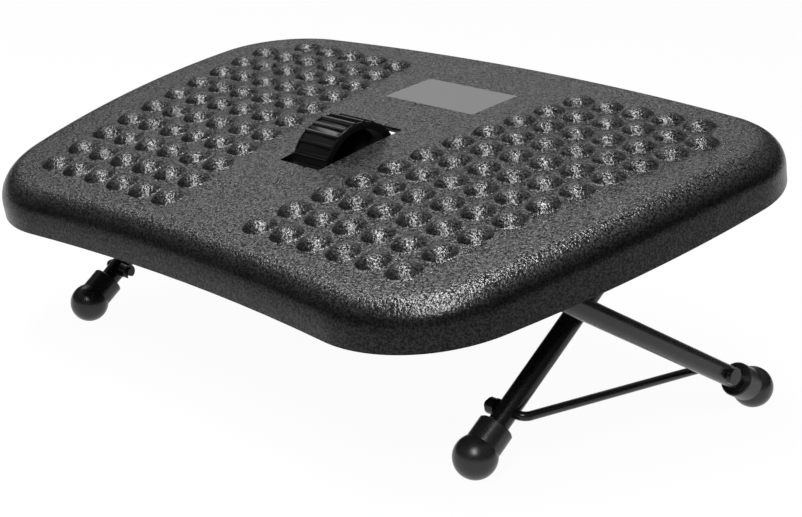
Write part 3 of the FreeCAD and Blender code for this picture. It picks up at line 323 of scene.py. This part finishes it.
def outline():
    """Points of the platform's plan outline with their outward normals, anticlockwise."""
    fx, fy, fr = FRONT_CORNER
    rx, ry, rr = REAR_CORNER
    hollow_y = fy - math.sqrt((HOLLOW_RADIUS + fr) ** 2 - fx ** 2)
    bow_y = ry - math.sqrt((BOW_RADIUS - rr) ** 2 - rx ** 2)
    apart = math.hypot(rx - fx, ry - fy)
    along = ((SIDE_RADIUS - fr) ** 2 - (SIDE_RADIUS - rr) ** 2 + apart ** 2) / (2 * apart)
    inward = math.sqrt((SIDE_RADIUS - fr) ** 2 - along ** 2)
    sx = fx + ((rx - fx) * along - (ry - fy) * inward) / apart
    sy = fy + ((ry - fy) * along + (rx - fx) * inward) / apart
    to_front = math.atan2(hollow_y - fy, -fx)
    to_side = math.atan2(fy - sy, fx - sx)
    to_rear = math.atan2(ry - sy, rx - sx)
    to_bow = math.atan2(ry - bow_y, rx)
    half = []

    def run(centre, radius, start, end, count, hollow=False):
        for step in range(count):
            angle = start + (end - start) * step / count
            out = Vector((math.cos(angle), math.sin(angle)))
            point = Vector(centre) + out * radius
            half.append((point, -out if hollow else out))

    quarter = math.radians(90)
    run((0, hollow_y), HOLLOW_RADIUS, quarter, to_front + math.pi, HOLLOW_STEPS, hollow=True)
    run((fx, fy), fr, to_front, to_side, CORNER_STEPS)
    run((sx, sy), SIDE_RADIUS, to_side, to_rear, SIDE_STEPS)
    run((rx, ry), rr, to_rear, to_bow, CORNER_STEPS)
    run((0, bow_y), BOW_RADIUS, to_bow, quarter, BOW_STEPS)
    top = (Vector((0, bow_y + BOW_RADIUS)), Vector((0, 1)))
    other = [(Vector((-p.x, p.y)), Vector((-n.x, n.y))) for p, n in half[1:]]
    return half + [top] + other[::-1]


def bump_centres():
    """Centres of the massage bumps: two mirrored fields, each short of its last bump."""
    for row in range(BUMP_ROWS):
        steps = row - BUMP_ROWS // 2
        for column in range(BUMP_COLUMNS):
            if row == BUMP_ROWS - 1 and column == BUMP_COLUMNS - 1:
                continue
            x = BUMP_FIRST + BUMP_SHIFT * steps + BUMP_PITCH * column
            for side in (-1, 1):
                yield Vector((side * x, BUMP_ROW_PITCH * steps))


# a bump's section: a round dome that a concave fillet joins to the deck
BUMP_HEIGHT = 4.6
DOME_RADIUS = 12.4
FOOT_RADIUS = 1.5
FOOT_STEPS = 6
DOME_STEPS = 9
BUMP_AROUND = 30


def bump_section():
    """Radius and height from the fillet's outer edge to just before the dome's top."""
    low = BUMP_HEIGHT - DOME_RADIUS
    reach = math.sqrt((DOME_RADIUS + FOOT_RADIUS) ** 2 - (FOOT_RADIUS - low) ** 2)
    turn = math.atan2(reach, FOOT_RADIUS - low)
    section = []
    for step in range(FOOT_STEPS):
        angle = turn * step / FOOT_STEPS
        section.append((
            reach - FOOT_RADIUS * math.sin(angle), FOOT_RADIUS * (1 - math.cos(angle))
        ))
    for step in range(DOME_STEPS):
        angle = turn * (1 - step / DOME_STEPS)
        section.append((DOME_RADIUS * math.sin(angle), low + DOME_RADIUS * math.cos(angle)))
    return reach, section


# steps round a corner of the slot
SLOT_CORNER_STEPS = 4


def rounded_rectangle(low_x, high_x, low_y, high_y, corner=0.0):
    if not corner:
        return [(low_x, low_y), (high_x, low_y), (high_x, high_y), (low_x, high_y)]
    points = []
    centres = [
        (high_x - corner, low_y + corner, -90), (high_x - corner, high_y - corner, 0),
        (low_x + corner, high_y - corner, 90), (low_x + corner, low_y + corner, 180),
    ]
    for x, y, start in centres:
        for step in range(SLOT_CORNER_STEPS + 1):
            angle = math.radians(start + 90 * step / SLOT_CORNER_STEPS)
            points.append((x + corner * math.cos(angle), y + corner * math.sin(angle)))
    return points


def divided(loop, longest):
    """The same loop with points added, so that no side is longer than asked."""
    points = []
    for (x0, y0), (x1, y1) in zip(loop, loop[1:] + loop[:1]):
        parts = max(1, math.ceil(math.hypot(x1 - x0, y1 - y0) / longest))
        for part in range(parts):
            points.append((x0 + (x1 - x0) * part / parts, y0 + (y1 - y0) * part / parts))
    return points


# the deck's net: its pitch, its reach in steps, and how far its points keep off the lines
NET_STEP = 7.0
NET_COLUMNS = 30
NET_ROWS = 22
NET_KEEP_OFF = 2.5
NET_BUMP_GAP = 1.2
NET_SLACK = 0.01
NET_TOLERANCE = 1e-5
HOLE_SIDE = 6.0


def deck_net(edge, rings, holes):
    """Triangles that fill the deck inside its edge and outside the rings and holes."""
    points = []
    lines = []

    def add_loop(loop):
        first = len(points)
        points.extend(Vector(p) for p in loop)
        count = len(loop)
        lines.extend((first + i, first + (i + 1) % count) for i in range(count))

    add_loop(edge)
    for loop in rings + holes:
        add_loop(loop)
    reach = bump_section()[0]
    centres = list(bump_centres())
    for i in range(-NET_COLUMNS, NET_COLUMNS + 1):
        for j in range(-NET_ROWS, NET_ROWS + 1):
            spot = Vector((i * NET_STEP + (j % 2) * NET_STEP / 2, j * NET_STEP))
            if not inside(spot, edge):
                continue
            if min((spot - Vector(p)).length for p in edge) < NET_KEEP_OFF:
                continue
            if any((spot - c).length < reach + NET_BUMP_GAP for c in centres):
                continue
            if any(near_box(spot, hole, NET_KEEP_OFF) for hole in holes):
                continue
            points.append(spot)
    result = geometry.delaunay_2d_cdt(points, lines, [], 0, NET_TOLERANCE)
    flat = result[0]
    faces = result[2]
    ring_inside = reach * math.cos(math.pi / BUMP_AROUND) - NET_SLACK
    kept = []
    for face in faces:
        middle = sum((flat[i] for i in face), Vector((0, 0))) / len(face)
        if not inside(middle, edge):
            continue
        if any((middle - c).length < ring_inside for c in centres):
            continue
        if any(inside(middle, hole) for hole in holes):
            continue
        kept.append(face)
    return flat, kept


def inside(spot, loop):
    """Whether a point lies in a closed loop, by the sides that a line to the right crosses."""
    hit = False
    for (x0, y0), (x1, y1) in zip(loop, loop[1:] + loop[:1]):
        if (y0 > spot.y) != (y1 > spot.y):
            if spot.x < (x1 - x0) * (spot.y - y0) / (y1 - y0) + x0:
                hit = not hit
    return hit


def near_box(spot, loop, margin):
    xs = [p[0] for p in loop]
    ys = [p[1] for p in loop]
    return (
        min(xs) - margin < spot.x < max(xs) + margin
        and min(ys) - margin < spot.y < max(ys) + margin
    )


# steps of the shoulder's quarter round, and the distances at which vertices are merged
SHOULDER_STEPS = 10
SKIN_MERGE = 0.002
INSIDE_MERGE = 0.001


def platform_skin(bm):
    """The outside of the moulding: skirt, shoulder, deck and bumps."""
    stations = outline()
    levels = [[(p, -RIM_DEPTH + rise) for p, n in stations] for rise in (0.0, RIM_EDGE)]
    for step in range(SHOULDER_STEPS + 1):
        angle = math.radians(90) * step / SHOULDER_STEPS
        inset = SHOULDER * (1 - math.cos(angle))
        drop = SHOULDER * (1 - math.sin(angle))
        ring = []
        for p, n in stations:
            q = p - n * inset
            ring.append((q, crown(q.y) - drop))
        levels.append(ring)
    rows = [[bm.verts.new((q.x, q.y, z)) for q, z in level] for level in levels]
    count = len(stations)
    for low, high in zip(rows, rows[1:]):
        for i in range(count):
            j = (i + 1) % count
            bm.faces.new((low[i], low[j], high[j], high[i]))
    edge = [(q.x, q.y) for q, z in levels[-1]]
    reach, section = bump_section()
    rings = []
    for centre in bump_centres():
        rings.append([
            (centre.x + reach * math.cos(2 * math.pi * k / BUMP_AROUND),
             centre.y + reach * math.sin(2 * math.pi * k / BUMP_AROUND))
            for k in range(BUMP_AROUND)
        ])
    holes = [rounded_rectangle(*SLOT, SLOT_CORNER), rounded_rectangle(*PANEL)]
    holes = [divided(hole, HOLE_SIDE) for hole in holes]
    flat, faces = deck_net(edge, rings, holes)
    deck = [bm.verts.new((p.x, p.y, crown(p.y))) for p in flat]
    for face in faces:
        bm.faces.new([deck[i] for i in face])
    for centre in bump_centres():
        add_bump(bm, centre, section)
    bmesh.ops.remove_doubles(bm, verts=bm.verts, dist=SKIN_MERGE)


def add_bump(bm, centre, section):
    loops = []
    for radius, height in section:
        loop = []
        for k in range(BUMP_AROUND):
            angle = 2 * math.pi * k / BUMP_AROUND
            x = centre.x + radius * math.cos(angle)
            y = centre.y + radius * math.sin(angle)
            loop.append(bm.verts.new((x, y, crown(y) + height)))
        loops.append(loop)
    for low, high in zip(loops, loops[1:]):
        for k in range(BUMP_AROUND):
            j = (k + 1) % BUMP_AROUND
            bm.faces.new((low[k], low[j], high[j], high[k]))
    top = bm.verts.new((centre.x, centre.y, crown(centre.y) + BUMP_HEIGHT))
    for k in range(BUMP_AROUND):
        bm.faces.new((loops[-1][k], loops[-1][(k + 1) % BUMP_AROUND], top))


# faces of the CAD platform that lie shallower than this under the skin give way to it
SKIN_DEPTH = 1.3
SKIN_DEPTH_AT_PANEL = 0.3
PANEL_MARGIN = 1
EDGE_REACH = 60.0


def depth_under_skin(point, edge_points):
    """How deep a point of the CAD platform lies under the outside of the moulding."""
    flat = Vector((point.x, point.y))
    depths = [(flat - p).dot(-n) for p, n in edge_points if (flat - p).length < EDGE_REACH]
    wall = min(depths, default=EDGE_REACH)
    top = crown(point.y) - point.z
    if wall < SHOULDER and top < SHOULDER:
        return SHOULDER - math.hypot(SHOULDER - wall, SHOULDER - top)
    return min(wall, top)


def platform_inside(bm):
    """The CAD platform's hidden side: its inner walls, ribs, saddles and slot."""
    source = bmesh.new()
    source.from_mesh(frame["nodes"]["platform"].data)
    bmesh.ops.transform(source, matrix=world_to_deck, verts=source.verts)
    bmesh.ops.remove_doubles(source, verts=source.verts, dist=INSIDE_MERGE)
    stations = outline()
    panel = rounded_rectangle(*PANEL)
    depths = {v.index: depth_under_skin(v.co, stations) for v in source.verts}
    outer = []
    for face in source.faces:
        at_panel = near_box(face.calc_center_median(), panel, PANEL_MARGIN)
        limit = SKIN_DEPTH_AT_PANEL if at_panel else SKIN_DEPTH
        if all(depths[v.index] < limit for v in face.verts):
            outer.append(face)
    bmesh.ops.delete(source, geom=outer, context="FACES")
    spare = [v for v in source.verts if not v.link_faces]
    bmesh.ops.delete(source, geom=spare, context="VERTS")
    copy = bpy.data.meshes.new("inside")
    source.to_mesh(copy)
    source.free()
    bm.from_mesh(copy)
    bpy.data.meshes.remove(copy)


shell = bmesh.new()
platform_skin(shell)
platform_inside(shell)
platform = new_object(
    "platform_moulding", shell, "platform_plastic", "platform_body"
)
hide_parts("platform")


# the thumbwheel, with the soft edges of a moulding; its axle's Y and Z come first
WHEEL_AXLE = (-10.5, -15.0)
WHEEL_HALF = 14.5
FLANGE_WALL = 1.2
FLANGE_RADIUS = 29.4
LAND_RADIUS = 28.4
WHEEL_RIM_BORE = 25.0
WEB_HALF = 2.5
HUB_RADIUS = 10.0
HUB_BORE = 6.02
HUB_HALF = 15.6
RIBS = 26
RIB_TOP_RADIUS = 30.0
RIB_FOOT_RADIUS = 27.8
RIB_HALF_TOP = 1.0
RIB_HALF_BASE = 1.7
RIB_HALF_LENGTH = 13.9
WHEEL_EDGE = 0.35
RIB_EDGE = 0.5
WHEEL_AROUND = 120


def softened(corners, edge):
    """A closed loop of points whose corners are cut twice, so that they shade round."""
    loop = []
    count = len(corners)
    for i in range(count):
        before = Vector(corners[i - 1])
        corner = Vector(corners[i])
        after = Vector(corners[(i + 1) % count])
        start = corner + (before - corner).normalized() * edge
        end = corner + (after - corner).normalized() * edge
        loop += [start, start * 0.25 + corner * 0.5 + end * 0.25, end]
    return loop


def wheel_spot(x, across, out, angle):
    """A point of the wheel from its place along the axle, across a radius and out along it."""
    y = out * math.cos(angle) - across * math.sin(angle)
    z = out * math.sin(angle) + across * math.cos(angle)
    return (x, WHEEL_AXLE[0] + y, WHEEL_AXLE[1] + z)


def wheel_body(bm):
    half_section = [
        (HUB_HALF, HUB_BORE), (HUB_HALF, HUB_RADIUS), (WEB_HALF, HUB_RADIUS),
        (WEB_HALF, WHEEL_RIM_BORE), (WHEEL_HALF, WHEEL_RIM_BORE), (WHEEL_HALF, FLANGE_RADIUS),
        (WHEEL_HALF - FLANGE_WALL, FLANGE_RADIUS), (WHEEL_HALF - FLANGE_WALL, LAND_RADIUS),
    ]
    section = half_section + [(-x, out) for x, out in reversed(half_section)]
    section = softened(section, WHEEL_EDGE)
    rings = []
    for step in range(WHEEL_AROUND):
        angle = 2 * math.pi * step / WHEEL_AROUND
        rings.append([bm.verts.new(wheel_spot(p.x, 0, p.y, angle)) for p in section])
    for ring, following in zip(rings, rings[1:] + rings[:1]):
        for i in range(len(section)):
            j = (i + 1) % len(section)
            bm.faces.new((ring[i], ring[j], following[j], following[i]))


def wheel_ribs(bm):
    corners = [
        (-RIB_HALF_BASE, RIB_FOOT_RADIUS), (RIB_HALF_BASE, RIB_FOOT_RADIUS),
        (RIB_HALF_TOP, RIB_TOP_RADIUS), (-RIB_HALF_TOP, RIB_TOP_RADIUS),
    ]
    profile = softened(corners, RIB_EDGE)
    for number in range(RIBS):
        angle = math.radians(90 + 360 * number / RIBS)
        ends = []
        for x in (-RIB_HALF_LENGTH, RIB_HALF_LENGTH):
            ends.append([bm.verts.new(wheel_spot(x, p.x, p.y, angle)) for p in profile])
        low, high = ends
        for i in range(len(profile)):
            j = (i + 1) % len(profile)
            bm.faces.new((low[i], low[j], high[j], high[i]))
        bm.faces.new(low[::-1])
        bm.faces.new(high)


turning = bmesh.new()
wheel_body(turning)
wheel_ribs(turning)
bmesh.ops.recalc_face_normals(turning, faces=turning.faces)
wheel = new_object(
    "ribbed_thumbwheel", turning, "wheel_plastic", "wheel"
)
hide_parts("tension_wheel")


# floor, light and camera

# the floor's side in metres, its own brightness, and the share that it is lit from within
FLOOR_SIDE = 60.0
FLOOR_SHADE = 0.86
FLOOR_GLOW_SHARE = 0.96


def add_floor(look):
    mesh = bpy.data.meshes.new("floor")
    half = FLOOR_SIDE / 2
    corners = [(-half, -half, 0), (half, -half, 0), (half, half, 0), (-half, half, 0)]
    mesh.from_pydata(corners, [], [(0, 1, 2, 3)])
    mesh.materials.append(look)
    obj = bpy.data.objects.new("floor", mesh)
    scene.collection.objects.link(obj)


def floor_look():
    """Matt white. Seen straight or mirrored it is also lit from within, so it stays white."""
    material = bpy.data.materials.new("floor")
    material.use_nodes = True
    nodes = material.node_tree.nodes
    links = material.node_tree.links
    nodes.clear()
    output = nodes.new("ShaderNodeOutputMaterial")
    matt = nodes.new("ShaderNodeBsdfDiffuse")
    matt.inputs["Color"].default_value = (*grey(FLOOR_SHADE), 1)
    glow = nodes.new("ShaderNodeEmission")
    glow.inputs["Color"].default_value = (1, 1, 1, 1)
    glow.inputs["Strength"].default_value = 1.0
    path = nodes.new("ShaderNodeLightPath")
    seen = nodes.new("ShaderNodeMath")
    seen.operation = "MAXIMUM"
    through = nodes.new("ShaderNodeMath")
    through.operation = "MAXIMUM"
    links.new(path.outputs["Is Glossy Ray"], through.inputs[0])
    links.new(path.outputs["Is Transmission Ray"], through.inputs[1])
    links.new(path.outputs["Is Camera Ray"], seen.inputs[0])
    links.new(through.outputs[0], seen.inputs[1])
    share = nodes.new("ShaderNodeMath")
    share.operation = "MULTIPLY"
    share.inputs[1].default_value = FLOOR_GLOW_SHARE
    links.new(seen.outputs[0], share.inputs[0])
    mix = nodes.new("ShaderNodeMixShader")
    links.new(share.outputs[0], mix.inputs["Fac"])
    links.new(matt.outputs[0], mix.inputs[1])
    links.new(glow.outputs[0], mix.inputs[2])
    links.new(mix.outputs[0], output.inputs["Surface"])
    return material


add_floor(floor_look())

# strength of the surroundings low down and high up, with how far up each begins
SKY_LOW = 0.25
SKY_HIGH = 0.8
SKY_LOW_STRENGTH = 0.05
SKY_HIGH_STRENGTH = 0.25


def sky_light(world):
    """Plain grey surroundings that brighten upwards."""
    world.use_nodes = True
    nodes = world.node_tree.nodes
    links = world.node_tree.links
    direction = nodes.new("ShaderNodeTexCoord")
    parts = nodes.new("ShaderNodeSeparateXYZ")
    rise = nodes.new("ShaderNodeMapRange")
    rise.interpolation_type = "SMOOTHSTEP"
    rise.inputs["From Min"].default_value = SKY_LOW
    rise.inputs["From Max"].default_value = SKY_HIGH
    rise.inputs["To Min"].default_value = SKY_LOW_STRENGTH
    rise.inputs["To Max"].default_value = SKY_HIGH_STRENGTH
    links.new(direction.outputs["Generated"], parts.inputs["Vector"])
    links.new(parts.outputs["Z"], rise.inputs["Value"])
    links.new(rise.outputs["Result"], nodes["Background"].inputs["Strength"])
    nodes["Background"].inputs["Color"].default_value = (1, 1, 1, 1)


scene.world = bpy.data.worlds.new("studio")
sky_light(scene.world)


def softbox(name, place, lean, turn, length, width, brightness):
    """A rectangular lamp in metres. It shines down, leans about its length, then turns."""
    light = bpy.data.lights.new(name, "AREA")
    light.shape = "RECTANGLE"
    light.size = length
    light.size_y = width
    light.energy = brightness * math.pi * length * width
    obj = bpy.data.objects.new(name, light)
    obj.location = place
    obj.rotation_euler = (math.radians(lean), 0, math.radians(turn))
    scene.collection.objects.link(obj)


softbox(
    "overhead", place=(0.08, -0.64, 2.4), lean=0, turn=-44,
    length=2.6, width=0.55, brightness=13.0,
)
softbox(
    "front", place=(1.17, -1.61, 1.8), lean=50, turn=36,
    length=0.9, width=0.8, brightness=16.5,
)
softbox(
    "left", place=(-1.89, 0.22, 1.9), lean=48, turn=-97,
    length=0.6, width=0.9, brightness=2.4,
)
softbox(
    "behind", place=(-2.4, 2.4, 1.8), lean=-63, turn=45,
    length=2.2, width=1.3, brightness=0.85,
)

# the photograph's camera: its place in metres, and the directions of its picture's sides
CAMERA_PLACE = (0.74354, -0.70457, 0.34097)
CAMERA_RIGHT = Vector((0.6946, 0.7183, 0.0397))
CAMERA_UP = Vector((-0.2128, 0.1524, 0.9651))
CAMERA_LENS = 79.63
CAMERA_SENSOR = 36.0
CAMERA_FAR_END = 100

camera = bpy.data.cameras.new("camera")
camera.sensor_fit = "HORIZONTAL"
camera.sensor_width = CAMERA_SENSOR
camera.lens = CAMERA_LENS
camera.clip_end = CAMERA_FAR_END
camera_object = bpy.data.objects.new("camera", camera)
back = CAMERA_RIGHT.cross(CAMERA_UP).normalized()
up = back.cross(CAMERA_RIGHT).normalized()
right = up.cross(back)
turned = Matrix((right, up, back)).transposed().to_4x4()
camera_object.matrix_world = Matrix.Translation(CAMERA_PLACE) @ turned
scene.collection.objects.link(camera_object)
scene.camera = camera_object
scene.view_settings.view_transform = "Standard"
